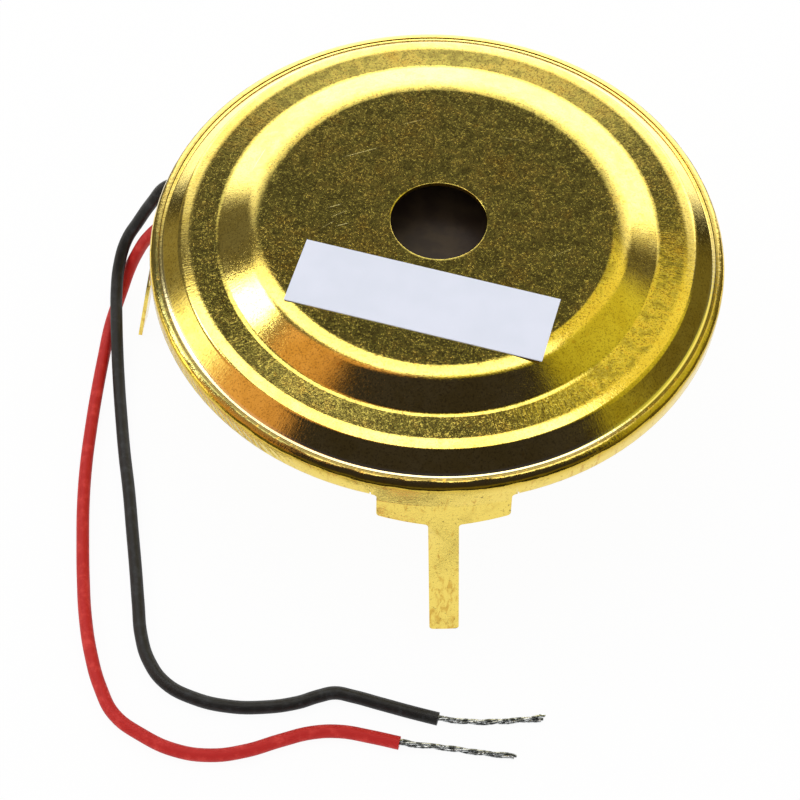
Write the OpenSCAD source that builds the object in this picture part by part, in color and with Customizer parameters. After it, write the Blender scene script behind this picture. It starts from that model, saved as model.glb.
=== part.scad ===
// Piezo buzzer: a diaphragm crimped into a round brass case that stands on three T-shaped legs,
// with two stripped flying leads. Millimetres, +Z up.
// The origin is on the axis of the disc, in the plane of the three leg tips.

/* [Rim band] */
// Diameter over the rim band
case_d = 50; // [49:0.5:53]
// Height of the band's crown above the leg tips
crown_z = 18.7; // [16:0.1:22]
// Thickness of the band's sheet, legs included
band_t = 0.35; // [0.3:0.05:0.45]
// Height of the band, from its crown to its lower edge
band_h = 2.5; // [2.4:0.1:3.2]
// Outer radius of the bead at the top edge
bead_r = 0.65; // [0.55:0.05:0.8]
// Width of the flat lip inside the bead, which lies over the cover
lip_w = 0.15; // [0.1:0.05:0.4]
// Outer radius of the edge that is rolled under the base
tuck_r = 0.6; // [0.5:0.05:0.8]
// Width of the flat edge inside the roll, which lies under the base
tuck_w = 0.6; // [0.4:0.05:1]

/* [Legs] */
// Angle of the front leg about the axis
front_leg_angle = -90; // [-95:1:-85]
// Angle of the left leg about the axis
left_leg_angle = 170; // [165:1:175]
// Angle of the rear leg about the axis
rear_leg_angle = 40; // [35:1:45]
// Angle by which a leg spreads outward from upright
leg_splay = 10; // [4:0.5:14]
// Sideways lean of the front leg
front_leg_lean = 2; // [-3:0.5:3]
// Width of a leg
leg_w = 2.55; // [2:0.05:3.2]
// Width of the shoulder that joins a leg to the band
shoulder_w = 11.1; // [8:0.1:13]
// Depth of the shoulder below the band, at its ends
shoulder_end_h = 2.15; // [1.4:0.05:2.4]
// Further depth of the shoulder beside the leg
shoulder_taper = 0.5; // [0.3:0.05:1.2]
// Width of plain wall kept on each side of a shoulder
relief_w = 0.45; // [0.4:0.05:1]
// Height of that plain wall above the band's lower edge
relief_h = 0.4; // [0.3:0.05:0.5]
// Width of the slit between the plain wall and the rolled edge
slit_w = 0.12; // [0.08:0.02:0.3]
// Depth below the band at which a leg bends outward
splay_drop = 0.3; // [0.25:0.05:0.6]
// Bend radius where a leg spreads out from the band
splay_bend = 1.5; // [0.5:0.1:2.5]
// Radius in the inner corners of a leg's outline
root_r = 0.3; // [0.15:0.05:0.35]
// Radius on the corners of a leg's tip and shoulder
corner_r = 0.3; // [0.1:0.05:0.45]

/* [Cover] */
// Thickness of the cover's sheet
cover_t = 0.4; // [0.3:0.05:0.5]
// Diameter of the sound hole
hole_d = 8.3; // [6:0.1:10]
// Height of the plateau above the band's crown
plateau_h = 3.15; // [2.6:0.05:3.8]
// Width of the inner step, from the edge of the plateau to the crease
inner_step_w = 3.3; // [2.8:0.05:3.8]
// Height of the crease above the band's crown
crease_h = 1.7; // [1.5:0.05:1.9]
// Width of the shelf, from the crease to where it begins to fall
shelf_w = 2.4; // [2:0.05:2.8]
// Height of the shelf's outer edge above the band's crown
shelf_h = 1.6; // [1.45:0.05:1.7]
// Width of the brow, which leads from the shelf into the outer step
brow_w = 0.85; // [0.75:0.05:1.1]
// Height of the brow's outer edge above the band's crown
brow_h = 1.3; // [1.15:0.05:1.4]
// Width of the outer step, from the brow to its foot
outer_step_w = 1.2; // [1:0.05:1.4]
// Width of the flange between the outer step and the band's lip
flange_w = 0.75; // [0.65:0.05:0.9]
// Depth of the flange's inner edge below the band's crown
foot_drop = 0.15; // [0.05:0.05:0.25]
// Bend radius at the edge of the plateau
plateau_bend = 4.5; // [2:0.1:5]
// Bend radius at the edge of the shelf
shelf_bend = 3; // [1:0.1:3.4]
// Bend radius at the edge of the brow
brow_bend = 0.8; // [0.6:0.05:1]
// Bend radius in the inner corners of the cover
inner_bend = 0.3; // [0.2:0.05:0.5]

/* [Diaphragm] */
// Thickness of the brass diaphragm
diaphragm_t = 0.3; // [0.2:0.05:0.4]
// Diameter of the ceramic disc
ceramic_d = 25; // [20:0.5:26]
// Thickness of the ceramic disc
ceramic_t = 0.25; // [0.2:0.05:0.35]

/* [Base] */
// Thickness of the base's sheet
base_t = 0.4; // [0.3:0.05:0.5]
// Depth of the base's floor below the band's lower edge
floor_drop = 2.5; // [2:0.1:3.2]
// Width of the ledge round the dish, inside the base's outer wall
seat_w = 1.1; // [1:0.05:1.3]
// Width of the dish's slope, from the ledge to the floor
dish_slope_w = 1.5; // [1.3:0.05:1.9]
// Bend radius at the edge of the base's seat
seat_bend = 0.7; // [0.6:0.05:0.9]
// Bend radius in the inner corners of the base
base_bend = 0.25; // [0.15:0.05:0.4]
// Diameter of the hole for the leads
lead_hole_d = 3.4; // [3.2:0.1:4]
// Distance of the lead hole from the axis
lead_hole_r = 19.2; // [19:0.1:19.3]
// Angle of the lead hole about the axis
lead_hole_angle = 155; // [154:0.5:156]

/* [Solder and leads] */
// Diameter over the insulation of a lead
lead_d = 1.15; // [1:0.05:1.2]
// Diameter of a lead's bare strands, twisted together
strand_d = 0.4; // [0.3:0.02:0.5]
// Diameter of a solder joint
solder_d = 2.6; // [2.2:0.1:3]
// Height of a solder joint
solder_h = 1; // [0.8:0.05:1.2]

/* [Label] */
// Length of the label
label_l = 22.2; // [18:0.1:24]
// Width of the label
label_w = 6.6; // [5:0.1:7]
// Thickness of the label
label_t = 0.1; // [0.08:0.01:0.2]
// Place of the label's middle, to the right of the axis
label_x = -1.6; // [-2.5:0.1:-0.5]
// Place of the label's middle, behind the axis
label_y = -8.45; // [-9:0.05:-8.3]
// Angle by which the label is turned
label_angle = -16.7; // [-20:0.1:-12]

/* [Hidden] */
$fn = 96;
// Radial play between the band and what it is crimped over
fit_gap = 0.05;
// How far a cutter runs past the faces it cuts
past = 1;
// Largest turn between neighbouring facets of a bend, in degrees
bend_step = 7.5;

case_r = case_d / 2;
inside_r = case_r - band_t - fit_gap;
// Levels of the crimped stack, from the crown down
cover_seat_z = crown_z - band_t;
diaphragm_top_z = cover_seat_z - cover_t;
diaphragm_z = diaphragm_top_z - diaphragm_t;
ceramic_z = diaphragm_z - ceramic_t;
band_bottom_z = crown_z - band_h;
// Straight wall between the cut at which the two parts of the band meet and the roll's bend
roll_rise = 0.1;
// Where the band's plain wall ends and its rolled edge begins
roll_z = band_bottom_z + tuck_r + roll_rise;
lip_r = case_r - bead_r - lip_w;
floor_z = band_bottom_z - floor_drop;
plateau_z = crown_z + plateau_h;
// Radii at which the cover's face bends, from the rim inward
foot_r = lip_r - flange_w;
brow_r = foot_r - outer_step_w;
shelf_r = brow_r - brow_w;
crease_r = shelf_r - shelf_w;
plateau_r = crease_r - inner_step_w;
// Angle and sideways lean of each leg
legs = [[front_leg_angle, front_leg_lean], [left_leg_angle, 0], [rear_leg_angle, 0]];
lead_hole_x = lead_hole_r * cos(lead_hole_angle);
lead_hole_y = lead_hole_r * sin(lead_hole_angle);

// Where the two leads are soldered under the diaphragm
black_joint = [-13.4, 7.6];
red_joint = [-8.3, 4.7];

// Route of each lead's middle line, from its solder joint to the end of its insulation
black_route = [
    [-13.8, 7.8, 17.0], [-15.0, 8.3, 16.2], [-16.2, 8.6, 14.9], [-17.3, 8.9, 13.6], [-18.8, 9.6, 12.8],
    [-20.8, 10.8, 12.5], [-22.8, 11.9, 12.3], [-24.5, 12.4, 11.4], [-26.0, 12.1, 9.4], [-27.4, 11.7, 7.1],
    [-28.7, 11.0, 5.0], [-29.4, 9.5, 3.3], [-29.6, 7.3, 2.4], [-29.5, 4.4, 1.9], [-29.3, 1.2, 1.3],
    [-29.0, -2.4, 0.7], [-28.6, -6.0, 0.6], [-28.1, -10.0, 0.6], [-27.5, -14.0, 0.6], [-27.0, -18.0, 0.6],
    [-26.5, -22.0, 0.6], [-26.1, -25.5, 0.6], [-25.7, -28.6, 0.6], [-24.9, -31.1, 0.6], [-23.4, -33.2, 0.6],
    [-21.0, -34.6, 0.6], [-18.0, -35.4, 0.6], [-15.0, -35.5, 0.6], [-12.2, -35.1, 0.6], [-10.4, -34.5, 0.6],
    [-9.0, -34.2, 0.6], [-7.6, -34.5, 0.6], [-5.0, -35.3, 0.6], [-2.4, -36.1, 0.6], [-0.3, -36.7, 0.6]
];
red_route = [
    [-8.8, 5.0, 16.7], [-11.2, 5.6, 16.6], [-13.8, 6.2, 16.5], [-15.8, 6.7, 15.7], [-17.3, 7.2, 14.2],
    [-18.9, 7.9, 12.8], [-20.9, 8.7, 11.7], [-23.0, 9.6, 10.3], [-24.8, 10.1, 8.7], [-26.4, 10.2, 6.7],
    [-27.7, 10.2, 4.1], [-28.6, 9.7, 2.1], [-29.2, 8.5, 1.0], [-29.7, 6.8, 0.6], [-30.2, 4.3, 0.6],
    [-30.6, 0.8, 0.6], [-31.0, -3.2, 0.6], [-31.3, -7.2, 0.6], [-31.5, -11.2, 0.6], [-31.5, -15.2, 0.6],
    [-31.3, -19.2, 0.6], [-31.0, -23.2, 0.6], [-30.6, -26.8, 0.6], [-29.9, -30.4, 0.6], [-28.9, -33.6, 0.6],
    [-27.6, -36.1, 0.6], [-25.2, -38.0, 0.6], [-22.4, -39.4, 0.6], [-19.4, -39.9, 0.6], [-16.4, -39.5, 0.6],
    [-13.6, -38.6, 0.6], [-11.0, -37.9, 0.6], [-8.6, -37.8, 0.6], [-6.0, -38.3, 0.6], [-3.6, -38.9, 0.6]
];
black_bare_route = [[-0.3, -36.7, 0.6], [2.8, -36.9, 0.5], [5.8, -36.8, 0.3], [8.9, -36.6, 0.3]];
red_bare_route = [[-3.6, -38.9, 0.6], [-0.2, -39.2, 0.5], [3.1, -39.7, 0.3], [6.3, -40.1, 0.3]];

function unit(v) = v / norm(v);

// Angle at which a face falls on its way outward from p to q
function fall(p, q) = atan2(p[1] - q[1], q[0] - p[0]);

// Direction square to a face that falls at angle a
function square_to(a) = [sin(a), cos(a)];

// Bend of radius r at corner v, between falls a and b, as a list of [point, fall]
function bend(v, a, b, r) =
    let (side = b > a ? 1 : -1)
    let (steps = ceil(abs(b - a) / bend_step))
    let (start = v - r * tan(abs(b - a) / 2) * [cos(a), -sin(a)])
    let (middle = start - side * r * square_to(a))
    [for (k = [0:steps]) let (t = a + (b - a) * k / steps) [middle + side * r * square_to(t), t]];

// Face of a sheet that bends at each of its corners [radius, height, bend radius]
function sheet_face(corners) =
    let (last = len(corners) - 1)
    let (p = [for (c = corners) [c[0], c[1]]])
    concat(
        [[p[0], fall(p[0], p[1])]],
        [for (i = [1:last - 1]) each bend(p[i], fall(p[i - 1], p[i]), fall(p[i], p[i + 1]), corners[i][2])],
        [[p[last], fall(p[last - 1], p[last])]]);

// Section of a sheet of thickness t that lies behind its face
module sheet_section(corners, t) {
    face = sheet_face(corners);
    back = [for (i = [len(face) - 1:-1:0]) face[i][0] - t * square_to(face[i][1])];
    polygon(concat([for (f = face) f[0]], back));
}

// Round corner of radius r at v, between its neighbours p and q
function round_corner(p, v, q, r) =
    let (to_p = unit(p - v), to_q = unit(q - v))
    let (half = acos(to_p * to_q) / 2)
    let (middle = v + unit(to_p + to_q) * r / sin(half))
    let (first = v + to_p * r / tan(half) - middle, last = v + to_q * r / tan(half) - middle)
    let (a = atan2(first[1], first[0]), turn = atan2(last[1], last[0]) - a)
    let (sweep = turn > 180 ? turn - 360 : turn < -180 ? turn + 360 : turn)
    [for (k = [0:4]) middle + r * [cos(a + sweep * k / 4), sin(a + sweep * k / 4)]];

// Outline through corners [x, y, radius], sharp where the radius is 0
function outline(corners) =
    let (n = len(corners), p = [for (c = corners) [c[0], c[1]]])
    [for (i = [0:n - 1])
        let (r = corners[i][2])
        each r == 0 ? [p[i]] : round_corner(p[(i + n - 1) % n], p[i], p[(i + 1) % n], r)];

// Direction of a route at its point i
function heading(route, i) =
    let (before = i > 0 ? unit(route[i] - route[i - 1]) : [0, 0, 0])
    let (after = i < len(route) - 1 ? unit(route[i + 1] - route[i]) : [0, 0, 0])
    unit(before + after);

// Tube of diameter d along a route, with an eight-sided ring at each of its points
module tube(route, d) {
    sides = 8;
    last = len(route) - 1;
    rings = [for (i = [0:last])
        let (along = heading(route, i))
        let (across = unit(cross([0, 0, 1], along)))
        let (over = cross(along, across))
        for (k = [0:sides - 1])
            let (a = 360 * (k + 0.5) / sides)
            route[i] + d / 2 * (cos(a) * across + sin(a) * over)];
    walls = [for (i = [0:last - 1], k = [0:sides - 1])
        let (j = (k + 1) % sides)
        [i * sides + k, (i + 1) * sides + k, (i + 1) * sides + j, i * sides + j]];
    near_end = [for (k = [0:sides - 1]) k];
    far_end = [for (k = [sides - 1:-1:0]) last * sides + k];
    polyhedron(rings, concat(walls, [near_end, far_end]));
}

// Outline of a leg with its shoulder and the plain band beside it, seen square to the leg
module leg_outline(lean) {
    plain_w = shoulder_w / 2 + relief_w;
    shoulder_z = band_bottom_z - shoulder_end_h;
    root_z = shoulder_z - shoulder_taper;
    plain_z = band_bottom_z + relief_h;
    shift = root_z * tan(lean);
    polygon(outline([
        [-plain_w, roll_z + past, 0],
        [-plain_w, plain_z, 0],
        [-shoulder_w / 2, plain_z, root_r],
        [-shoulder_w / 2, shoulder_z, corner_r],
        [-leg_w / 2, root_z, root_r],
        [-leg_w / 2 + shift, 0, corner_r],
        [leg_w / 2 + shift, 0, corner_r],
        [leg_w / 2, root_z, root_r],
        [shoulder_w / 2, shoulder_z, corner_r],
        [shoulder_w / 2, plain_z, root_r],
        [plain_w, plain_z, 0],
        [plain_w, roll_z + past, 0]
    ]));
}

// Lip, bead, wall and spread legs, which are one sheet
module band_and_legs() {
    leg_bend_z = band_bottom_z - splay_drop;
    intersection() {
        rotate_extrude()
            sheet_section([
                [lip_r, crown_z],
                [case_r, crown_z, bead_r],
                [case_r, leg_bend_z, splay_bend],
                [case_r + (leg_bend_z + past) * tan(leg_splay), -past]
            ], band_t);
        union() {
            translate([0, 0, roll_z])
                cylinder(h = crown_z - roll_z + past, r = case_r + past);
            for (l = legs)
                rotate([0, 0, l[0]])
                    translate([case_r / 2, 0, 0])
                        rotate([90, 0, 90])
                            linear_extrude(height = case_r)
                                leg_outline(l[1]);
        }
    }
}

// Lower edge of the band, rolled under the base everywhere but at the legs.
// A thinner ring inside the sheet runs up into the wall, so that the two parts are one solid.
module rolled_edge() {
    slot_w = shoulder_w + 2 * relief_w + 2 * slit_w;
    difference() {
        union() {
            rotate_extrude()
                sheet_section([
                    [case_r, roll_z],
                    [case_r, band_bottom_z, tuck_r],
                    [case_r - tuck_r - tuck_w, band_bottom_z]
                ], band_t);
            rotate_extrude()
                translate([case_r - 3 / 4 * band_t, roll_z - roll_rise])
                    square([band_t / 2, 2 * roll_rise]);
        }
        for (l = legs)
            rotate([0, 0, l[0]])
                translate([case_r / 2, -slot_w / 2, 0])
                    cube([case_r, slot_w, crown_z]);
    }
}

module rim_band() {
    color("khaki") {
        band_and_legs();
        rolled_edge();
    }
}

// Stepped pressing: plateau with the sound hole, inner step, shelf, outer step, flange
module cover() {
    color("darkgoldenrod")
        rotate_extrude()
            sheet_section([
                [hole_d / 2, plateau_z],
                [plateau_r, plateau_z, plateau_bend],
                [crease_r, crown_z + crease_h, inner_bend],
                [shelf_r, crown_z + shelf_h, shelf_bend],
                [brow_r, crown_z + brow_h, brow_bend],
                [foot_r, crown_z - foot_drop, inner_bend],
                [lip_r - fit_gap, cover_seat_z, inner_bend],
                [case_r - bead_r, cover_seat_z]
            ], cover_t);
}

module diaphragm() {
    color("goldenrod")
        translate([0, 0, diaphragm_z])
            cylinder(h = diaphragm_t, r = inside_r);
}

module ceramic_disc() {
    color("gainsboro")
        translate([0, 0, ceramic_z])
            cylinder(h = ceramic_t, d = ceramic_d);
}

// Dish whose rim carries the diaphragm's edge and whose floor closes the back
module base_cup() {
    seat_z = band_bottom_z + band_t + base_t;
    wall_r = inside_r - base_t;
    seat_r = wall_r - seat_w;
    floor_r = seat_r - dish_slope_w;
    color("goldenrod")
        difference() {
            rotate_extrude()
                sheet_section([
                    [0, floor_z + base_t],
                    [floor_r, floor_z + base_t, base_bend],
                    [seat_r, seat_z, seat_bend],
                    [wall_r, seat_z, base_bend],
                    [wall_r, diaphragm_z]
                ], base_t);
            translate([lead_hole_x, lead_hole_y, floor_z - past])
                cylinder(h = base_t + 2 * past, d = lead_hole_d);
        }
}

// Drop of solder that hangs from height z
module solder(place, z) {
    drop_r = (pow(solder_d / 2, 2) + pow(solder_h, 2)) / (2 * solder_h);
    color("silver")
        translate([place[0], place[1], z])
            intersection() {
                translate([0, 0, drop_r - solder_h]) sphere(r = drop_r);
                translate([0, 0, -solder_h - past]) cylinder(h = solder_h + past, r = solder_d);
            }
}

module black_solder() {
    solder(black_joint, diaphragm_z);
}

module red_solder() {
    solder(red_joint, ceramic_z);
}

module black_lead() {
    color("dimgray") tube(black_route, lead_d);
}

module red_lead() {
    color("firebrick") tube(red_route, lead_d);
}

module black_strands() {
    color("silver") tube(black_bare_route, strand_d);
}

module red_strands() {
    color("silver") tube(red_bare_route, strand_d);
}

module label() {
    color("ghostwhite")
        translate([label_x, label_y, plateau_z])
            rotate([0, 0, label_angle])
                translate([-label_l / 2, -label_w / 2, 0])
                    cube([label_l, label_w, label_t]);
}

cover();
rim_band();
diaphragm();
ceramic_disc();
base_cup();
black_solder();
red_solder();
black_lead();
red_lead();
black_strands();
red_strands();
label();
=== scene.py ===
import math
import random

import bpy
from mathutils import Matrix, Vector


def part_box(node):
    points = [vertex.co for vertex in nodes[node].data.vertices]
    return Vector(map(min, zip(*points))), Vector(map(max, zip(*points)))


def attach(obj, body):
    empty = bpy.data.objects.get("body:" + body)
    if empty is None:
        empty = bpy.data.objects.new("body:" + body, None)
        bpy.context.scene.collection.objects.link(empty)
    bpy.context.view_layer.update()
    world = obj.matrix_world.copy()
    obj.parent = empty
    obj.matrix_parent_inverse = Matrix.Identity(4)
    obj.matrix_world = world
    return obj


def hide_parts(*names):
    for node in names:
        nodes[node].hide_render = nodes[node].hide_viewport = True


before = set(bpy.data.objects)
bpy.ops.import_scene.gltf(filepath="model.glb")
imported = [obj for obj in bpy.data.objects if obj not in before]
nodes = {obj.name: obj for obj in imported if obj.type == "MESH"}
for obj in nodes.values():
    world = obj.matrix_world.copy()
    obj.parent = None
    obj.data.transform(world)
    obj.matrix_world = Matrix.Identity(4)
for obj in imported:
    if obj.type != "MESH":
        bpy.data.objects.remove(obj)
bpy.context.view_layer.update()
random.seed(7)
mm = 0.001


def deselectAll():
    if bpy.context.object and bpy.context.object.mode != "OBJECT":
        bpy.ops.object.mode_set(mode="OBJECT")
    bpy.ops.object.select_all(action="DESELECT")


def newObject(name, data):
    piece = bpy.data.objects.new(name, data)
    bpy.context.scene.collection.objects.link(piece)
    return piece


# camera: a long lens, high in front of the piece

cameraLook = {
    "place": (-0.00830, -0.11918, 0.17109),
    "ahead": (0.02587, 0.55892, -0.82882),
    "up": (0.00264, 0.82905, 0.55917),
    "lens": 100,
    "sensor": 36,
    "clipStart": 0.01,
}


def addCamera(look):
    lens = bpy.data.cameras.new("benchCamera")
    lens.lens = look["lens"]
    lens.sensor_width = look["sensor"]
    lens.clip_start = look["clipStart"]
    camera = newObject("benchCamera", lens)
    back = -Vector(look["ahead"]).normalized()
    right = Vector(look["up"]).cross(back).normalized()
    up = back.cross(right)
    turn = Matrix((right, up, back)).transposed().to_4x4()
    camera.matrix_world = Matrix.Translation(look["place"]) @ turn
    bpy.context.scene.camera = camera


addCamera(cameraLook)

# leads: routes of the middle lines in mm, from the solder joint to the stripped end, the rest
# in metres

leadLook = {
    "diameter": 1.15 * mm,
    "roundness": 6,
    "exitBlack": (-0.0172, 0.0088, 0.0137),
    "exitRed": (-0.0176, 0.0074, 0.0137),
    "blackLength": 0.092,
    "redLength": 0.100,
    "blackRoute": [
        (-13.8, 7.8, 17.0), (-15.0, 8.3, 16.2), (-16.2, 8.6, 14.9), (-17.3, 8.9, 13.6),
        (-18.8, 9.6, 12.8), (-20.8, 10.8, 12.5), (-22.8, 11.9, 12.3), (-24.5, 12.4, 11.4),
        (-26.0, 12.1, 9.4), (-27.4, 11.7, 7.1), (-28.7, 11.0, 5.0), (-29.4, 9.5, 3.3),
        (-29.6, 7.3, 2.4), (-29.5, 4.4, 1.9), (-29.3, 1.2, 1.3), (-29.0, -2.4, 0.7),
        (-28.6, -6.0, 0.6), (-28.1, -10.0, 0.6), (-27.5, -14.0, 0.6), (-27.0, -18.0, 0.6),
        (-26.5, -22.0, 0.6), (-26.1, -25.5, 0.6), (-25.7, -28.6, 0.6), (-24.9, -31.1, 0.6),
        (-23.4, -33.2, 0.6), (-21.0, -34.6, 0.6), (-18.0, -35.4, 0.6), (-15.0, -35.5, 0.6),
        (-12.2, -35.1, 0.6), (-10.4, -34.5, 0.6), (-9.0, -34.2, 0.6), (-7.6, -34.5, 0.6),
        (-5.0, -35.3, 0.6), (-2.4, -36.1, 0.6), (-0.3, -36.7, 0.6),
    ],
    "redRoute": [
        (-8.8, 5.0, 16.7), (-11.2, 5.6, 16.6), (-13.8, 6.2, 16.5), (-15.8, 6.7, 15.7),
        (-17.3, 7.2, 14.2), (-18.9, 7.9, 12.8), (-20.9, 8.7, 11.7), (-23.0, 9.6, 10.3),
        (-24.8, 10.1, 8.7), (-26.4, 10.2, 6.7), (-27.7, 10.2, 4.1), (-28.6, 9.7, 2.1),
        (-29.2, 8.5, 1.0), (-29.7, 6.8, 0.6), (-30.2, 4.3, 0.6), (-30.6, 0.8, 0.6),
        (-31.0, -3.2, 0.6), (-31.3, -7.2, 0.6), (-31.5, -11.2, 0.6), (-31.5, -15.2, 0.6),
        (-31.3, -19.2, 0.6), (-31.0, -23.2, 0.6), (-30.6, -26.8, 0.6), (-29.9, -30.4, 0.6),
        (-28.9, -33.6, 0.6), (-27.6, -36.1, 0.6), (-25.2, -38.0, 0.6), (-22.4, -39.4, 0.6),
        (-19.4, -39.9, 0.6), (-16.4, -39.5, 0.6), (-13.6, -38.6, 0.6), (-11.0, -37.9, 0.6),
        (-8.6, -37.8, 0.6), (-6.0, -38.3, 0.6), (-3.6, -38.9, 0.6),
    ],
}

strandLook = {
    "count": 3,
    "wire": 0.26 * mm,
    "roundness": 3,
    "spread": 0.15 * mm,
    "pitch": 6.4 * mm,
    "stepsPerTurn": 18,
    "tableGap": 0.02 * mm,
    # how much shorter each next wire is, and the random part of it
    "endStep": 0.03,
    "endPlay": 0.01,
    # the twist runs ahead and back by so many radians, at this rate along the end
    "twistSway": (0.3, 9),
    # the wires' distance from the middle line varies: mean, amplitude and rate
    "spreadSway": (0.95, 0.10, 23),
    # one wire stands off near the insulation, at this share of the length
    "looseWire": 1,
    "looseAt": 0.09,
    "looseSpan": 0.06,
    "looseOthers": 0.2,
    # one wire splays out towards the tip
    "splayWire": 0,
    "splayFrom": 0.75,
    "splayOthers": 0.3,
    "blackRoute": [(-0.6, -36.6, 0.6), (2.8, -36.95, 0.45), (5.8, -36.8, 0.35), (8.8, -36.6, 0.3)],
    "redRoute": [(-3.9, -38.85, 0.6), (-0.2, -39.25, 0.45), (3.1, -39.7, 0.35), (6.2, -40.1, 0.3)],
    # how far that one wire stands off, and how far the other one splays
    "blackFray": (0.1, 5),
    "redFray": (0.9, 0.5),
}


def newCurve(name, roundness):
    # the depth is 1 and each point's radius is the real one, so that the box comes out right
    data = bpy.data.curves.new(name, "CURVE")
    data.dimensions = "3D"
    data.bevel_depth = 1.0
    data.bevel_resolution = roundness
    data.resolution_u = 6
    data.use_fill_caps = True
    return newObject(name, data)


def inMetres(route):
    return [Vector(p) * mm for p in route]


def addLead(name, route):
    piece = newCurve(name, leadLook["roundness"])
    points = inMetres(route)
    spline = piece.data.splines.new("BEZIER")
    spline.bezier_points.add(len(points) - 1)
    for knot, place in zip(spline.bezier_points, points):
        knot.co = place
        knot.radius = leadLook["diameter"] / 2
        knot.handle_left_type = knot.handle_right_type = "AUTO"
    return piece


def addWire(piece, points, radius):
    spline = piece.data.splines.new("POLY")
    spline.points.add(len(points) - 1)
    for knot, place in zip(spline.points, points):
        knot.co = (*place, 1)
        knot.radius = radius


def alongRoute(points, share):
    # place and direction at a share of the way, on a smooth curve through the points
    spans = len(points) - 1
    at = min(share * spans, spans - 1e-6)
    i = int(at)
    t = at - i
    p0, p1, p2, p3 = (points[max(0, min(spans, k))] for k in (i - 1, i, i + 1, i + 2))
    square = 2 * p0 - 5 * p1 + 4 * p2 - p3
    cube = 3 * p1 - p0 - 3 * p2 + p3
    place = 0.5 * (2 * p1 + (p2 - p0) * t + square * t ** 2 + cube * t ** 3)
    slope = 0.5 * ((p2 - p0) + 2 * square * t + 3 * cube * t ** 2)
    return place, slope.normalized()


def addStrands(name, route, looseStart, splay):
    look = strandLook
    piece = newCurve(name, look["roundness"])
    points = inMetres(route)
    length = sum((b - a).length for a, b in zip(points, points[1:]))
    steps = int(length / look["pitch"] * look["stepsPerTurn"])
    sway, swayRate = look["twistSway"]
    even, wave, waveRate = look["spreadSway"]
    for k in range(look["count"]):
        phase = 2 * math.pi * k / look["count"]
        endShare = 1 - look["endStep"] * k - random.uniform(0, look["endPlay"])
        looseShare = 1 if k == look["looseWire"] else look["looseOthers"]
        splayShare = 1 if k == look["splayWire"] else look["splayOthers"]
        places = []
        for s in range(steps + 1):
            share = s / steps * endShare
            place, ahead = alongRoute(points, share)
            side = ahead.cross(Vector((0, 0, 1))).normalized()
            over = side.cross(ahead)
            turn = phase + 2 * math.pi * share * length / look["pitch"]
            turn += sway * math.sin(swayRate * share + phase)
            hump = math.exp(-((share - look["looseAt"]) / look["looseSpan"]) ** 2)
            loose = 1 + looseStart * hump * looseShare
            loose += splay * max(0, share - look["splayFrom"]) * splayShare
            out = look["spread"] * loose * (even + wave * math.sin(waveRate * share + 2 * k))
            spot = place + out * (math.cos(turn) * side + math.sin(turn) * over)
            spot.z = max(spot.z, look["wire"] / 2 + look["tableGap"])
            places.append(spot)
        addWire(piece, places, look["wire"] / 2)
    return piece


def declareLead(lead, strands, leadNode, strandNode):
    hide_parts(leadNode)
    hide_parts(strandNode)
    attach(lead, "root")
    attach(strands, "root")


blackLead = addLead("blackLeadCord", leadLook["blackRoute"])
redLead = addLead("redLeadCord", leadLook["redRoute"])
blackEnd = addStrands("blackEndStrands", strandLook["blackRoute"], *strandLook["blackFray"])
redEnd = addStrands("redEndStrands", strandLook["redRoute"], *strandLook["redFray"])
declareLead(blackLead, blackEnd, "black_lead", "black_strands")
declareLead(redLead, redEnd, "red_lead", "red_strands")
print("camera and leads are in")


# shader maths: an output of a node that can be added, multiplied and so on
class Value:
    def __init__(self, paint, socket):
        self.paint = paint
        self.socket = socket

    def __add__(self, other):
        return self.paint.maths("ADD", self, other)

    def __radd__(self, other):
        return self.paint.maths("ADD", other, self)

    def __sub__(self, other):
        return self.paint.maths("SUBTRACT", self, other)

    def __rsub__(self, other):
        return self.paint.maths("SUBTRACT", other, self)

    def __mul__(self, other):
        return self.paint.maths("MULTIPLY", self, other)

    def __rmul__(self, other):
        return self.paint.maths("MULTIPLY", other, self)

    def __truediv__(self, other):
        return self.paint.maths("DIVIDE", self, other)

    def __pow__(self, other):
        return self.paint.maths("POWER", self, other)

    def __abs__(self):
        return self.paint.maths("ABSOLUTE", self)


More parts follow.
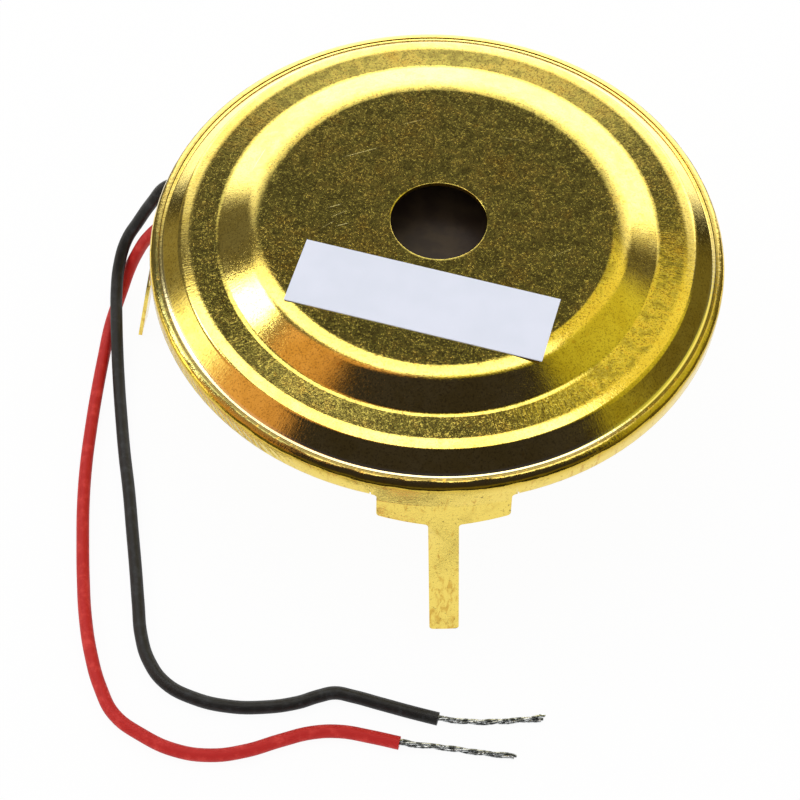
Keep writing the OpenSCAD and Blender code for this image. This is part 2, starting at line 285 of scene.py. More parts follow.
class Paint:
    # a node tree, with a method for each kind of node that is used often
    def __init__(self, tree):
        self.tree = tree

    def node(self, kind, settings=None, values=None, out=0):
        made = self.tree.nodes.new(kind)
        for key, value in (settings or {}).items():
            if key == "stops":
                elements = made.color_ramp.elements
                while len(elements) < len(value):
                    elements.new(0.5)
                for stop, (where, colour) in zip(elements, value):
                    stop.position = where
                    stop.color = colour
            else:
                setattr(made, key, value)
        for key, value in (values or {}).items():
            if isinstance(value, Value):
                self.tree.links.new(value.socket, made.inputs[key])
            else:
                made.inputs[key].default_value = value
        return Value(self, made.outputs[out]) if made.outputs else None

    def maths(self, operation, *terms):
        return self.node("ShaderNodeMath", {"operation": operation}, dict(enumerate(terms)))

    def vectorMaths(self, operation, values, out=0):
        return self.node("ShaderNodeVectorMath", {"operation": operation}, values, out)

    def split(self, vector):
        outputs = self.node("ShaderNodeSeparateXYZ", None, {0: vector}).socket.node.outputs
        return [Value(self, outputs[k]) for k in range(3)]

    def join(self, x, y):
        return self.node("ShaderNodeCombineXYZ", None, {0: x, 1: y})

    def noise(self, kind, where=None):
        scale, detail, roughness, distortion = kind
        return self.node("ShaderNodeTexNoise", None, {
            "Vector": where or self.place, "Scale": scale, "Detail": detail,
            "Roughness": roughness, "Distortion": distortion})

    def ramp(self, value, stops):
        return self.node("ShaderNodeValToRGB", {"stops": stops}, {0: value})

    def range(self, value, low, high):
        # smooth step from 0 at the first end to 1 at the second
        return self.node("ShaderNodeMapRange", {"interpolation_type": "SMOOTHSTEP"}, {
            0: value, 1: low, 2: high})

    def mix(self, share, first, second):
        return self.node("ShaderNodeMix", {"data_type": "RGBA"}, {0: share, 6: first, 7: second},
                         out=2)

    def ray(self, kind):
        return self.node("ShaderNodeLightPath", out=kind)


class Surface(Paint):
    # a material's node tree, where places are in mm
    def __init__(self, name, **constants):
        self.material = bpy.data.materials.new(name)
        self.material.use_nodes = True
        super().__init__(self.material.node_tree)
        self.shader = self.tree.nodes["Principled BSDF"]
        for socket, value in constants.items():
            self.shader.inputs[socket.replace("_", " ")].default_value = value
        spot = self.node("ShaderNodeTexCoord", out="Object")
        self.place = self.vectorMaths("SCALE", {0: spot, "Scale": 1 / mm})

    def locate(self):
        # coordinates, distance from the axis, and the angle about it from -1 to 1
        self.x, self.y, self.z = self.split(self.place)
        self.radius = (self.x * self.x + self.y * self.y) ** 0.5
        self.angle = self.maths("ARCTAN2", self.y, self.x) * (1 / math.pi)

    def stretched(self, factors):
        return self.vectorMaths("MULTIPLY", {0: self.place, 1: factors})

    def bump(self, height, distance):
        return self.node("ShaderNodeBump", None, {
            "Height": height, "Distance": distance * mm, "Strength": 1.0})

    def use(self, **sockets):
        for socket, value in sockets.items():
            self.tree.links.new(value.socket, self.shader.inputs[socket.replace("_", " ")])
        return self.material


def rgb(red, green, blue):
    return (red, green, blue, 1)


def blend(first, second, share):
    return first * share + second * (1 - share)


# materials: a noise is given by its scale, detail, roughness and distortion, a range by its
# two ends, and lengths are in mm

brassLook = {
    "clean": rgb(0.86, 0.67, 0.17),
    "aged": rgb(0.74, 0.55, 0.11),
    # painted shade for the dark gap where the lip meets the cover
    "seamShade": rgb(0.09, 0.06, 0.018),
    "olive": rgb(0.62, 0.53, 0.10),
    # painted highlight: a pale tone that whitens the flange on its near side
    "nearSheen": rgb(0.92, 0.80, 0.42),
    "deep": rgb(0.70, 0.49, 0.06),
    "stain": rgb(0.20, 0.13, 0.035),
    "ochre": rgb(0.62, 0.36, 0.05),
}

coverPaint = {
    "grain": (4.6, 3, 0.7, 0),
    "pits": (9.0, 2, 0.6, 0),
    "grainInSand": 0.55,
    "mottle": (0.9, 4, 0.6, 0.4),
    "cloud": (0.14, 3, 0.55, 0),
    "spots": (1.7, 3, 0.6, 0.5),
    # radii at which the parts of the cover begin or end
    "stepStart": (15.0, 16.2),
    "stepEnd": (19.1, 18.7),
    "browStart": (21.0, 21.6),
    "sheenStart": (23.65, 23.85),
    "seamStart": (24.03, 24.12),
    # y at which the near side begins
    "nearSide": (4, -8),
    # marks that the draw leaves along the radius: noise, stretch and where they begin
    "drawn": (2.2, 3, 0.6, 0),
    "drawnStretch": (150, 0.5),
    "drawnStart": (16.5, 20.0),
    # marks that run round the flange
    "rolled": (1.0, 2, 0.5, 0),
    "rolledStretch": (11, 3),
    "rolledStart": (23.7, 23.9),
    "rolledDark": (0.50, 0.62),
    "rolledShare": 0.4,
    # mottle's share against the cloud, then the ends of the range
    "tarnish": (0.5, 0.40, 0.62),
    "patina": (0.55, 0.43, 0.57),
    "patinaShare": 0.8,
    "shadows": (0.7, 0.52, 0.40),
    "shadowShare": 0.45,
    "blooms": (0.6, 0.54, 0.66),
    "bloomShare": 0.5,
    # darkness of the sand on the steps, and what the flats add to it
    "sandDark": (0.50, 0.60),
    "sandShare": (0.5, 0.3),
    "spotEdge": (0.64, 0.72),
    "spotShare": 0.55,
    "seamShadeShare": 0.8,
    "scratchTone": rgb(1.0, 0.88, 0.42),
    "scratchShare": 0.7,
    "scratchRoughness": 0.22,
    "roughness": 0.08,
    "roughSpread": 0.05,
    # relief, on the steps and what the flats add to it
    "dentEdge": (0.44, 0.37),
    "dentShare": (0.6, 0.4),
    "sandRelief": (0.65, 0.25),
    "dentRelief": 0.22,
    "markRelief": 0.6,
    "reliefHeight": 0.011,
}

# straight light marks on the cover: x and y of both ends, and strength
scratchLook = {
    "marks": [
        (-8.5, 7.0, -4.7, 8.3, 0.8), (-9.6, 1.4, -8.2, 1.9, 0.9), (-9.3, 0.4, -7.7, 1.2, 0.7),
        (-8.9, -0.6, -7.6, -0.2, 0.9), (-10.2, -0.9, -8.8, 0.1, 0.6), (5.5, 9.4, 8.2, 8.9, 0.5),
        (-3.1, 10.8, -0.6, 11.6, 0.6), (-16.2, 6.0, -14.9, 8.9, 0.7), (9.3, -4.0, 11.6, -2.9, 0.5),
    ],
    "fullFrom": 0.5,
    "edge": (0.055, 0.015),
}

bandPaint = {
    "grain": (3.5, 3, 0.65, 0),
    "blotch": (0.55, 4, 0.65, 0.8),
    "bright": rgb(0.90, 0.69, 0.145),
    "deepAbove": (17.3, 18.4),
    "agedEdge": (0.54, 0.70),
    "agedShare": 0.6,
    # the bead along the top, by height and radius
    "beadHeight": (18.45, 18.7),
    "beadRadius": (24.0, 24.3),
    "beadTone": rgb(0.64, 0.50, 0.15),
    "beadShare": 0.75,
    # painted shade on the bead's stretch at the front left, bounded by x and y
    "leftSide": (-5, -15),
    "leftFront": (4, -6),
    "leftShade": rgb(0.26, 0.27, 0.09),
    "leftShadeShare": 0.7,
    # painted shade in the seam between the lip and the cover, on the near side
    "seamRadius": (24.44, 24.30),
    "nearSide": (4, -8),
    "seamShadeShare": 0.9,
    # painted shade on the outer edge of the far rim, far side only
    "edgeRadius": (24.6, 24.8),
    "edgeHeight": (18.2, 18.5),
    "farSide": (-4, 8),
    "farEdgeShade": rgb(0.075, 0.062, 0.022),
    # stains that run down the legs, more of them near the tips
    "runs": (1.2, 4, 0.65, 0.5),
    "runStretch": (1.6, 1.6, 0.5),
    "tipHeight": (11, 1),
    "tipShare": 0.09,
    "runEdge": (0.54, 0.70),
    "runShare": 0.75,
    # thin winding nicks
    "nicks": (0.9, 1, 0.4, 1.5),
    "nickStretch": (1, 1, 0.6),
    "nickWidth": 0.013,
    "nickGrain": (0.5, 0.6),
    "nickShare": 0.8,
    "speckEdge": (0.60, 0.72),
    "speckShare": 0.5,
    # slanted wrinkles where the edge is rolled under, at the front left, from one angle to
    # another in half turns
    "wrinkleTop": (18.0, 17.2),
    "wrinkleFoot": (15.9, 16.3),
    "wrinkleStart": (-0.96, -0.88),
    "wrinkleEnd": (-0.64, -0.74),
    "wrinkleSlant": 2.2,
    "wrinklesPerDegree": 2.9,
    "wrinkleJitter": 6,
    # the ochre that follows the wrinkles is painted shade along them
    "wrinkleEdge": (0.45, 0.95),
    "wrinkleShadeShare": 0.6,
    "roughness": 0.13,
    "roughSpread": 0.10,
    "surfaceRelief": 0.8,
    "wrinkleRelief": 1.9,
    "reliefHeight": 0.022,
}

# diaphragm under the hole: brown brass, made near black as painted shade of the hole's inside
innerShadedPaint = {
    "cloud": (0.5, 3, 0.5, 0),
    "clouding": (0.35, 0.65),
    "tone": rgb(0.040, 0.025, 0.016),
    "otherTone": rgb(0.062, 0.040, 0.022),
    "fine": (4, 3, 0.6, 0),
    "roughness": 0.42,
    "roughSpread": 0.2,
    "relief": 0.008,
    "cloudRelief": 0,
}

basePaint = {
    "cloud": (0.3, 4, 0.6, 0),
    "clouding": (0.4, 0.65),
    "tone": brassLook["clean"],
    "otherTone": brassLook["aged"],
    "fine": (5, 3, 0.6, 0),
    "roughness": 0.30,
    "roughSpread": 0.15,
    "relief": 0.008,
    "cloudRelief": 0,
}

blackPaint = {
    "cloud": (1.2, 4, 0.6, 0),
    "clouding": (0.45, 0.75),
    "tone": rgb(0.012, 0.0115, 0.011),
    "otherTone": rgb(0.030, 0.031, 0.034),
    "fine": (9, 2, 0.5, 0),
    "roughness": 0.5,
    "roughSpread": 0.2,
    "relief": 0.008,
    "cloudRelief": 2,
}

redPaint = {
    **blackPaint,
    "tone": rgb(0.51, 0.010, 0.007),
    "otherTone": rgb(0.66, 0.038, 0.029),
}

# tinned wire: the dark clouds are painted shade for the gaps between the strands
wireShadedPaint = {
    "cloud": (2.6, 3, 0.6, 0),
    "clouding": (0.42, 0.56),
    "tone": rgb(0.72, 0.75, 0.76),
    "otherTone": rgb(0.13, 0.14, 0.14),
    "fine": (2.6, 3, 0.6, 0),
    "roughness": 0.24,
    "roughSpread": 0.3,
    "relief": 0,
}

ceramicPaint = {
    "cloud": (3, 4, 0.6, 0),
    "clouding": (0.4, 0.7),
    "tone": rgb(0.78, 0.77, 0.74),
    "otherTone": rgb(0.58, 0.56, 0.52),
    "fine": (3, 4, 0.6, 0),
    "roughness": 0.42,
    "roughSpread": 0.2,
    "relief": 0,
}

solderPaint = {
    "cool": (2.5, 3, 0.5, 0),
    "tone": rgb(0.72, 0.72, 0.73),
    "otherTone": rgb(0.5, 0.5, 0.5),
    "roughness": 0.22,
    "roughSpread": 0.15,
    "relief": 0.03,
}

labelPaint = {
    "cloud": (0.25, 2, 0.5, 0),
    "clouding": (0.35, 0.65),
    "tone": rgb(0.69, 0.715, 0.82),
    "otherTone": rgb(0.66, 0.69, 0.79),
    "fibre": (7, 4, 0.6, 0),
    "fibreTone": rgb(0.58, 0.60, 0.66),
    "fibreFrom": 0.4,
    "fibreShare": 0.2,
    "roughness": 0.5,
    "roughSpread": 0.1,
    "relief": 0.002,
}


def scratches(paint, look):
    total = None
    for fromX, fromY, toX, toY, strength in look["marks"]:
        half = math.hypot(toX - fromX, toY - fromY) / 2
        c, s = (toX - fromX) / half / 2, (toY - fromY) / half / 2
        midX, midY = (fromX + toX) / 2, (fromY + toY) / 2
        along = abs(paint.x * c + paint.y * s - (midX * c + midY * s))
        off = abs(paint.y * c - paint.x * s - (midY * c - midX * s))
        mark = paint.range(along, half, half * look["fullFrom"]) * paint.range(off, *look["edge"])
        mark = mark * strength
        total = mark if total is None else total + mark
    return total


def coverBrass(look, brass):
    paint = Surface("coverBrass", Metallic=1.0)
    paint.locate()
    radius, angle = paint.radius, paint.angle
    grain = paint.noise(look["grain"])
    sand = blend(grain, paint.noise(look["pits"]), look["grainInSand"])
    mottle = paint.noise(look["mottle"])
    cloud = paint.noise(look["cloud"])
    step = paint.range(radius, *look["stepStart"]) * paint.range(radius, *look["stepEnd"])
    flat = 1 - step - paint.range(radius, *look["browStart"])
    front = paint.range(paint.y, *look["nearSide"])
    across, along = look["drawnStretch"]
    drawn = paint.noise(look["drawn"], paint.join(angle * across, radius * along))
    drawn = drawn * paint.range(radius, *look["drawnStart"])
    across, along = look["rolledStretch"]
    rolled = paint.noise(look["rolled"], paint.join(radius * across, angle * along))
    rolled = rolled * paint.range(radius, *look["rolledStart"])

    def clouded(name):
        share, low, high = look[name]
        return paint.range(blend(mottle, cloud, share), low, high)

    tone = paint.mix(clouded("tarnish"), brass["clean"], brass["aged"])
    patina = paint.mix(clouded("patina"), brass["olive"], brass["aged"])
    onSteps, onFlats = look["sandShare"]
    spots = paint.range(paint.noise(look["spots"]), *look["spotEdge"])
    nearSheen = paint.range(radius, *look["sheenStart"])
    rolledDark = paint.range(rolled, *look["rolledDark"])
    seamShade = paint.range(radius, *look["seamStart"])
    scratch = scratches(paint, scratchLook)
    for share, layer in [
            (flat * look["patinaShare"], patina),
            (flat * clouded("shadows") * look["shadowShare"], brass["stain"]),
            (flat * clouded("blooms") * look["bloomShare"], brass["ochre"]),
            (paint.range(sand, *look["sandDark"]) * (onSteps + flat * onFlats), brass["stain"]),
            (spots * look["spotShare"], brass["ochre"]),
            # painted highlight: the flange turns pale on the near side only
            (nearSheen * front, brass["nearSheen"]),
            (rolledDark * front * look["rolledShare"], brass["stain"]),
            # painted shade in the seam at the cover's outer edge, near side only
            (seamShade * front * look["seamShadeShare"], brass["seamShade"]),
            (scratch * look["scratchShare"], look["scratchTone"])]:
        tone = paint.mix(share, tone, layer)
    rough = look["roughness"] + (grain - 0.5) * look["roughSpread"]
    rough = rough + scratch * look["scratchRoughness"]
    onSteps, onFlats = look["dentShare"]
    dents = paint.range(sand, *look["dentEdge"]) * (onSteps + flat * onFlats)
    onSteps, onFlats = look["sandRelief"]
    relief = sand * (onSteps - flat * onFlats) + dents * look["dentRelief"]
    relief = relief + drawn * look["markRelief"] + rolled * front * look["markRelief"]
    return paint.use(Base_Color=tone, Roughness=rough,
                     Normal=paint.bump(relief, look["reliefHeight"]))


def bandBrass(look, brass):
    paint = Surface("bandBrass", Metallic=1.0)
    paint.locate()
    x, y, height, radius, angle = paint.x, paint.y, paint.z, paint.radius, paint.angle
    grain = paint.noise(look["grain"])
    blotch = paint.noise(look["blotch"])
    bead = paint.range(height, *look["beadHeight"]) * paint.range(radius, *look["beadRadius"])
    left = paint.range(x, *look["leftSide"])
    leftFront = paint.range(y, *look["leftFront"])
    seamShade = paint.range(radius, *look["seamRadius"])
    farRimShade = paint.range(radius, *look["edgeRadius"]) * paint.range(height, *look["edgeHeight"])
    runs = paint.noise(look["runs"], paint.stretched(look["runStretch"]))
    runs = runs + paint.range(height, *look["tipHeight"]) * look["tipShare"]
    nicks = paint.noise(look["nicks"], paint.stretched(look["nickStretch"]))
    nicks = paint.range(abs(nicks - 0.5), look["nickWidth"], 0)
    low = paint.range(height, *look["wrinkleTop"]) * paint.range(height, *look["wrinkleFoot"])
    slant = angle * 180 + height * look["wrinkleSlant"]
    wave = slant * look["wrinklesPerDegree"] + blotch * look["wrinkleJitter"]
    where = paint.range(angle, *look["wrinkleStart"]) * paint.range(angle, *look["wrinkleEnd"])
    wrinkle = paint.maths("SINE", wave) * low * where
    nearSide = paint.range(y, *look["nearSide"])
    tone = paint.mix(paint.range(height, *look["deepAbove"]), look["bright"], brass["deep"])
    for share, layer in [
            (paint.range(blotch, *look["agedEdge"]) * look["agedShare"], brass["aged"]),
            (bead * look["beadShare"], look["beadTone"]),
            # painted shade on the bead at the front left
            (bead * left * leftFront * look["leftShadeShare"], look["leftShade"]),
            # painted shade in the seam under the lip, near side only
            (seamShade * bead * nearSide * look["seamShadeShare"], brass["seamShade"]),
            # painted shade on the far rim's outer edge
            (farRimShade * paint.range(y, *look["farSide"]), look["farEdgeShade"]),
            (paint.range(runs, *look["runEdge"]) * look["runShare"], brass["ochre"]),
            (nicks * paint.range(grain, *look["nickGrain"]) * look["nickShare"], brass["stain"]),
            (paint.range(grain, *look["speckEdge"]) * look["speckShare"], brass["stain"]),
            # painted shade along the wrinkles
            (paint.range(wrinkle, *look["wrinkleEdge"]) * look["wrinkleShadeShare"], brass["ochre"])]:
        tone = paint.mix(share, tone, layer)
    rough = look["roughness"] + (grain - 0.5) * look["roughSpread"]
    relief = grain * look["surfaceRelief"] + blotch * look["surfaceRelief"]
    relief = relief + wrinkle * look["wrinkleRelief"]
    return paint.use(Base_Color=tone, Roughness=rough,
                     Normal=paint.bump(relief, look["reliefHeight"]))


def cloudedSurface(name, look, **constants):
    # two tones in clouds, with a finer noise for roughness and relief
    paint = Surface(name, **constants)
    cloud = paint.noise(look["cloud"])
    fine = paint.noise(look["fine"])
    tone = paint.mix(paint.range(cloud, *look["clouding"]), look["tone"], look["otherTone"])
    sockets = {"Base_Color": tone,
               "Roughness": look["roughness"] + (fine - 0.5) * look["roughSpread"]}
    if look["relief"]:
        sockets["Normal"] = paint.bump(fine + cloud * look["cloudRelief"], look["relief"])
    return paint.use(**sockets)


def solderMetal(look):
    paint = Surface("solderMetal", Metallic=1.0)
    cool = paint.noise(look["cool"])
    return paint.use(Base_Color=paint.mix(cool, look["tone"], look["otherTone"]),
                     Roughness=look["roughness"] + cool * look["roughSpread"],
                     Normal=paint.bump(cool, look["relief"]))


def labelPaper(look):
    paint = Surface("labelPaper", IOR=1.45)
    fibre = paint.noise(look["fibre"])
    cloud = paint.noise(look["cloud"])
    tone = paint.mix(paint.range(cloud, *look["clouding"]), look["tone"], look["otherTone"])
    tone = paint.mix((fibre - look["fibreFrom"]) * look["fibreShare"], tone, look["fibreTone"])
    return paint.use(Base_Color=tone,
                     Roughness=look["roughness"] + (fibre - 0.5) * look["roughSpread"],
                     Normal=paint.bump(fibre, look["relief"]))


def wear(piece, material):
    piece.data.materials.clear()
    piece.data.materials.append(material)


plastic = {"IOR": 1.5, "Specular_IOR_Level": 0.34}
# the wire's dark clouds are painted shade
wire = cloudedSurface("tinnedWireShaded", wireShadedPaint, Metallic=0.85)
solder = solderMetal(solderPaint)
wear(blackLead, cloudedSurface("blackInsulation", blackPaint, **plastic))
wear(redLead, cloudedSurface("redInsulation", redPaint, **plastic))
wear(blackEnd, wire)
wear(redEnd, wire)
# the diaphragm's dark tone is painted shade inside the hole
wear(nodes["diaphragm"], cloudedSurface("innerBrassShaded", innerShadedPaint, Metallic=0.2))
wear(nodes["base_cup"], cloudedSurface("baseBrass", basePaint, Metallic=1.0))
wear(nodes["ceramic_disc"], cloudedSurface("silverCeramic", ceramicPaint, Metallic=0.8))
wear(nodes["black_solder"], solder)
wear(nodes["red_solder"], solder)
wear(nodes["label"], labelPaper(labelPaint))
print("materials are on")

# cover: one sheet, extruded ring by ring, with rolled bends

coverLook = {
    "segments": 240,
    "thickness": 0.4,
    "edgeRound": 0.05,
    "edgeSegments": 3,
    "sharpFrom": 60,
    "smoothUnder": 40,
    # radius, height over the crown of the rim, bend radius, parts in the bend
    "rings": [
        (4.15, 3.15, 0, 0), (4.45, 3.15, 0, 0), (9.0, 3.15, 0, 0), (15.75, 3.15, 4.5, 14),
        (19.05, 1.7, 1.3, 8), (21.4, 1.6, 2.5, 8), (22.35, 1.4, 0.8, 8), (23.85, 0.05, 0.3, 5),
        (24.19, 0.0, 0, 0),
    ],
}


def editMesh(piece):
    deselectAll()
    piece.select_set(True)
    bpy.context.view_layer.objects.active = piece
    bpy.ops.object.mode_set(mode="EDIT")


def selectRing(piece, radius, height):
    # edges that lie all round one circle
    bpy.ops.mesh.select_mode(type="EDGE")
    bpy.ops.mesh.select_all(action="DESELECT")
    bpy.ops.object.mode_set(mode="OBJECT")
    near = 0.002 * mm
    on = [abs(v.co.xy.length - radius) < near and abs(v.co.z - height) < near
          for v in piece.data.vertices]
    for edge in piece.data.edges:
        edge.select = on[edge.vertices[0]] and on[edge.vertices[1]]
    bpy.ops.object.mode_set(mode="EDIT")


def extrudeRings(piece, rings):
    editMesh(piece)
    bpy.ops.mesh.select_all(action="SELECT")
    for (r0, z0, _, _), (r1, z1, _, _) in zip(rings, rings[1:]):
        bpy.ops.mesh.extrude_region_move(TRANSFORM_OT_translate={"value": (0, 0, z1 - z0)})
        bpy.ops.transform.resize(value=(r1 / r0, r1 / r0, 1), center_override=(0, 0, 0))


def bendRings(piece, rings):
    for before, (r, z, bend, parts), after in zip(rings, rings[1:], rings[2:]):
        if bend:
            fallIn = math.atan2(before[1] - z, r - before[0])
            fallOut = math.atan2(z - after[1], after[0] - r)
            selectRing(piece, r, z)
            bpy.ops.mesh.bevel(offset=bend * math.tan(abs(fallOut - fallIn) / 2), segments=parts,
                               profile=0.5, affect="EDGES")


def drawSheet(name, look, crown):
    rings = [(r * mm, crown + h * mm, bend * mm, parts) for r, h, bend, parts in look["rings"]]
    deselectAll()
    bpy.ops.mesh.primitive_circle_add(vertices=look["segments"], radius=rings[0][0],
                                      fill_type="NOTHING", location=(0, 0, rings[0][1]))
    piece = bpy.context.object
    piece.name = name
    bpy.ops.object.transform_apply(location=True)
    extrudeRings(piece, rings)
    bendRings(piece, rings)
    bpy.ops.mesh.select_all(action="SELECT")
    bpy.ops.mesh.normals_make_consistent(inside=False)
    bpy.ops.object.mode_set(mode="OBJECT")
    if sum(f.normal.z for f in piece.data.polygons) < 0:
        piece.data.flip_normals()
    wall = piece.modifiers.new("wall", "SOLIDIFY")
    wall.thickness = look["thickness"] * mm
    wall.offset = -1
    wall.use_even_offset = True
    wall.use_quality_normals = True
    bpy.ops.object.modifier_apply(modifier=wall.name)
    rounding = piece.modifiers.new("rounding", "BEVEL")
    rounding.width = look["edgeRound"] * mm
    rounding.segments = look["edgeSegments"]
    rounding.limit_method = "ANGLE"
    rounding.angle_limit = math.radians(look["sharpFrom"])
    bpy.ops.object.modifier_apply(modifier=rounding.name)
    bpy.ops.object.shade_smooth_by_angle(angle=math.radians(look["smoothUnder"]))
    return piece


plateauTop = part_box("cover")[1].z
crown = plateauTop - coverLook["rings"][0][1] * mm
cover = drawSheet("coverPressing", coverLook, crown)
wear(cover, coverBrass(coverPaint, brassLook))
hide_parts("cover")
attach(cover, "root")
print("cover is drawn")

# rim: a merged copy of the band, whose lip rises towards its inner edge

rimLook = {
    "weld": 0.0005,
    "lipFrom": 24.6,
    "lipDepth": 0.6,
    "lipRise": 0.17,
    "smoothUnder": 35,
}


def pressRim(name, node, look, crown):
    rim = newObject(name, node.data.copy())
    editMesh(rim)
    bpy.ops.mesh.select_all(action="SELECT")
    bpy.ops.mesh.remove_doubles(threshold=look["weld"] * mm)
    bpy.ops.object.mode_set(mode="OBJECT")
    for v in rim.data.vertices:
        inside = look["lipFrom"] * mm - v.co.xy.length
        if inside > 0 and v.co.z > crown - look["lipDepth"] * mm:
            v.co.z += inside * look["lipRise"]
    bpy.ops.object.shade_smooth_by_angle(angle=math.radians(look["smoothUnder"]))
    return rim


rim = pressRim("rimPressing", nodes["rim_band"], rimLook, crown)
wear(rim, bandBrass(bandPaint, brassLook))
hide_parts("rim_band")
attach(rim, "root")
print("rim is pressed")

# floor, backdrop and light

tableLook = {
    "size": 2.4,
    "drop": 0.00002,
    "roughness": 0.7,
    "pale": rgb(0.86, 0.86, 0.86),
    "paler": rgb(0.89, 0.89, 0.89),
    "cloud": (0.02, 2, 0.5, 0),
    # what bright metal mirrors: dark outside a lit part, brighter behind the piece, in mm
    "dark": rgb(0.03, 0.028, 0.025),
    "litSides": (160, 90),
    "litFront": (-63, -53),
    "plain": rgb(1, 1, 1),
    "bright": rgb(2.2, 2.2, 2.1),
    "brightFrom": (22, 30),
    "glowShare": 0.95,
}


def addFloor(look):
    deselectAll()
    bpy.ops.mesh.primitive_plane_add(size=look["size"], location=(0, 0, -look["drop"]))
    floor = bpy.context.object
    floor.name = "paleFloor"
    bpy.ops.object.transform_apply(location=True)
    paint = Surface("paleFloor", Roughness=look["roughness"])
    x, y, _ = paint.split(paint.place)
    glossy = paint.ray("Is Glossy Ray")
    seen = paint.ray("Is Camera Ray") + glossy
    lit = paint.range(y, *look["litFront"]) * paint.range(abs(x), *look["litSides"])
    dark = glossy * (1 - lit)
    tone = paint.mix(paint.noise(look["cloud"]), look["pale"], look["paler"])
    paint.use(Base_Color=paint.mix(dark, tone, look["dark"]))
    behind = glossy * paint.range(y, *look["brightFrom"])
    shade = paint.mix(dark, paint.mix(behind, look["plain"], look["bright"]), look["dark"])
    glow = paint.node("ShaderNodeEmission", None, {"Color": shade, "Strength": 1.0})
    both = paint.node("ShaderNodeMixShader", None, {
        0: seen * look["glowShare"], 1: Value(paint, paint.shader.outputs[0]), 2: glow})
    output = paint.tree.nodes["Material Output"]
    paint.tree.links.new(both.socket, output.inputs["Surface"])
    wear(floor, paint.material)


# bearings are in degrees from the far side, clockwise, and heights in degrees over the horizon
lightLook = {
    # level that matt surfaces see
    "plainLevel": 0.86,
    # the walls lean: bearings are divided by 1 plus this much for each degree below this height
    "leanHeight": 50,
    "lean": 0.006,
    # what stands round the table, by bearing
    "sides": [
        (-180, (0.042, 0.038, 0.062)), (-116, (0.042, 0.038, 0.062)), (-110, (0.74, 0.39, 0.22)),
        (-82, (0.95, 0.54, 0.31)), (-73, (0.17, 0.16, 0.14)), (-33, (0.17, 0.16, 0.14)),
        (-26, (1, 1, 1)), (40, (1, 1, 1)), (46, (0.14, 0.13, 0.11)), (55, (0.14, 0.13, 0.11)),
        (60, (0.80, 0.77, 0.15)), (102, (0.48, 0.45, 0.06)), (109, (0.042, 0.038, 0.062)),
        (180, (0.042, 0.038, 0.062)),
    ],
    # the backdrop's ends, and its brightness by height
    "backdropLeft": (-34, -26),
    "backdropRight": (47, 40),
    "backdrop": [(-10, 3.0), (22, 3.0), (32, 1.9), (42, 0.95), (45, 0.16), (60, 0.14)],
    # where the horizon lies on that ramp, and the degrees that the ramp spans
    "rampHeights": (0.2, 90),
    # the yellow wall's upper edge falls this much a degree, from this bearing
    "yellowFrom": 18,
    "yellowFall": 0.35,
    # the overhead's edge comes down by this much a degree on the left, as far as this bearing
    "overheadDrop": 0.42,
    "overheadTo": 60,
    # bearing, height, half width and brightness of the bare lamp, and its soft edge
    "lamp": (-65, 45, 4.2, 9),
    "lampEdge": (2.0, 0.5),
}

# later patches lie over earlier ones: colour, share, and the ranges that bound each
patchLook = [
    # yellow wall, which reaches in above the backdrop
    ((1.25, 1.13, 0.34), 0.85, [("yellow", 50, 54), ("bearing", 13, 19), ("bearing", 62, 56)]),
    # dark foot of the right side
    ((0.17, 0.15, 0.06), 1, [("height", 35, 21), ("bearing", 44, 50)]),
    # dark foot of the orange wall
    ((0.15, 0.14, 0.08), 1, [("height", 27, 17), ("leaned", -77, -84)]),
    # dim strip low on the left
    ((0.32, 0.29, 0.19), 1, [("height", 18, 6), ("leaned", -24, -30), ("leaned", -86, -77)]),
    # soft light low on the left
    ((3.0, 2.9, 2.5), 0.85, [("height", 36, 18), ("leaned", -52, -66), ("leaned", -86, -72)]),
    # overhead light, on the far side only
    ((3.0, 3.0, 2.95), 1, [("overhead", 64, 68), ("depth", 0.05, 0.12), ("bearing", -60, -52)]),
]


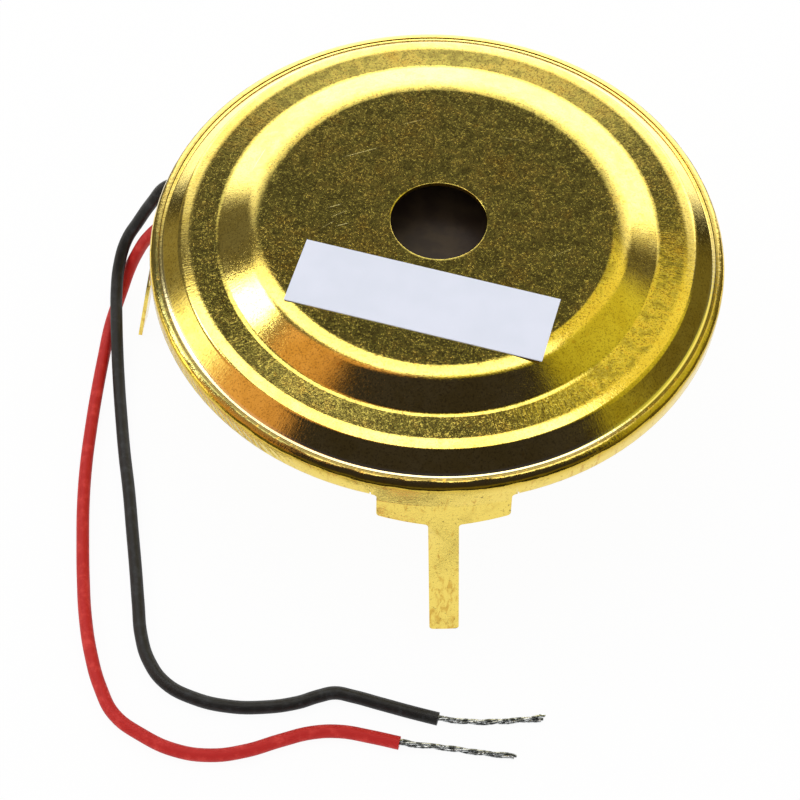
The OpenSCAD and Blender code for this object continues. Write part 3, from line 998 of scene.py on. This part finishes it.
def addWorld(look, patches):
    world = bpy.data.worlds.new("lightTent")
    bpy.context.scene.world = world
    world.use_nodes = True
    world.node_tree.nodes.clear()
    paint = Paint(world.node_tree)
    way = paint.node("ShaderNodeTexCoord", out="Generated")
    x, y, z = paint.split(way)
    degrees = 180 / math.pi
    height = paint.maths("ARCSINE", z) * degrees
    bearing = paint.maths("ARCTAN2", x, y) * degrees
    leaned = bearing / (1 + (look["leanHeight"] - height) * look["lean"])
    leftward = paint.node("ShaderNodeClamp", None, {
        0: bearing * -1, 1: 0, 2: look["overheadTo"]})
    axes = {
        "height": height,
        "bearing": bearing,
        "leaned": leaned,
        "depth": y,
        "yellow": height + (bearing - look["yellowFrom"]) * look["yellowFall"],
        "overhead": height + leftward * look["overheadDrop"],
    }
    # the ramps run from 0 to 1, so bearings and heights are scaled to that
    start, span = look["rampHeights"]
    around = paint.ramp(leaned * (1 / 360) + 0.5,
                        [((t + 180) / 360, rgb(*c)) for t, c in look["sides"]])
    glow = paint.ramp(height * (1 / span) + start,
                      [(h / span + start, rgb(v, v, v)) for h, v in look["backdrop"]])
    inBackdrop = paint.range(leaned, *look["backdropLeft"])
    inBackdrop = inBackdrop * paint.range(leaned, *look["backdropRight"])
    tent = paint.mix(inBackdrop, around, glow)
    for colour, share, bounds in patches:
        covered = None
        for axis, low, high in bounds:
            part = paint.range(axes[axis], low, high)
            covered = part if covered is None else covered * part
        tent = paint.mix(covered * share, tent, rgb(*colour))
    lampBearing, lampHeight, half, strength = look["lamp"]
    flat = math.cos(math.radians(lampHeight))
    middle = (flat * math.sin(math.radians(lampBearing)),
              flat * math.cos(math.radians(lampBearing)), math.sin(math.radians(lampHeight)))
    near = paint.vectorMaths("DOT_PRODUCT", {0: way, 1: middle}, out="Value")
    outer, inner = (math.cos(math.radians(half * edge)) for edge in look["lampEdge"])
    tent = paint.mix(paint.range(near, outer, inner), tent, rgb(strength, strength, strength))
    level = look["plainLevel"]
    tent = paint.mix(paint.ray("Is Diffuse Ray"), tent, rgb(level, level, level))
    tent = paint.mix(paint.ray("Is Camera Ray"), tent, rgb(1, 1, 1))
    shine = paint.node("ShaderNodeBackground", None, {"Color": tent, "Strength": 1.0})
    paint.node("ShaderNodeOutputWorld", None, {"Surface": shine})


addFloor(tableLook)
addWorld(lightLook, patchLook)
bpy.context.scene.view_settings.view_transform = "Standard"
print("floor and light are set")
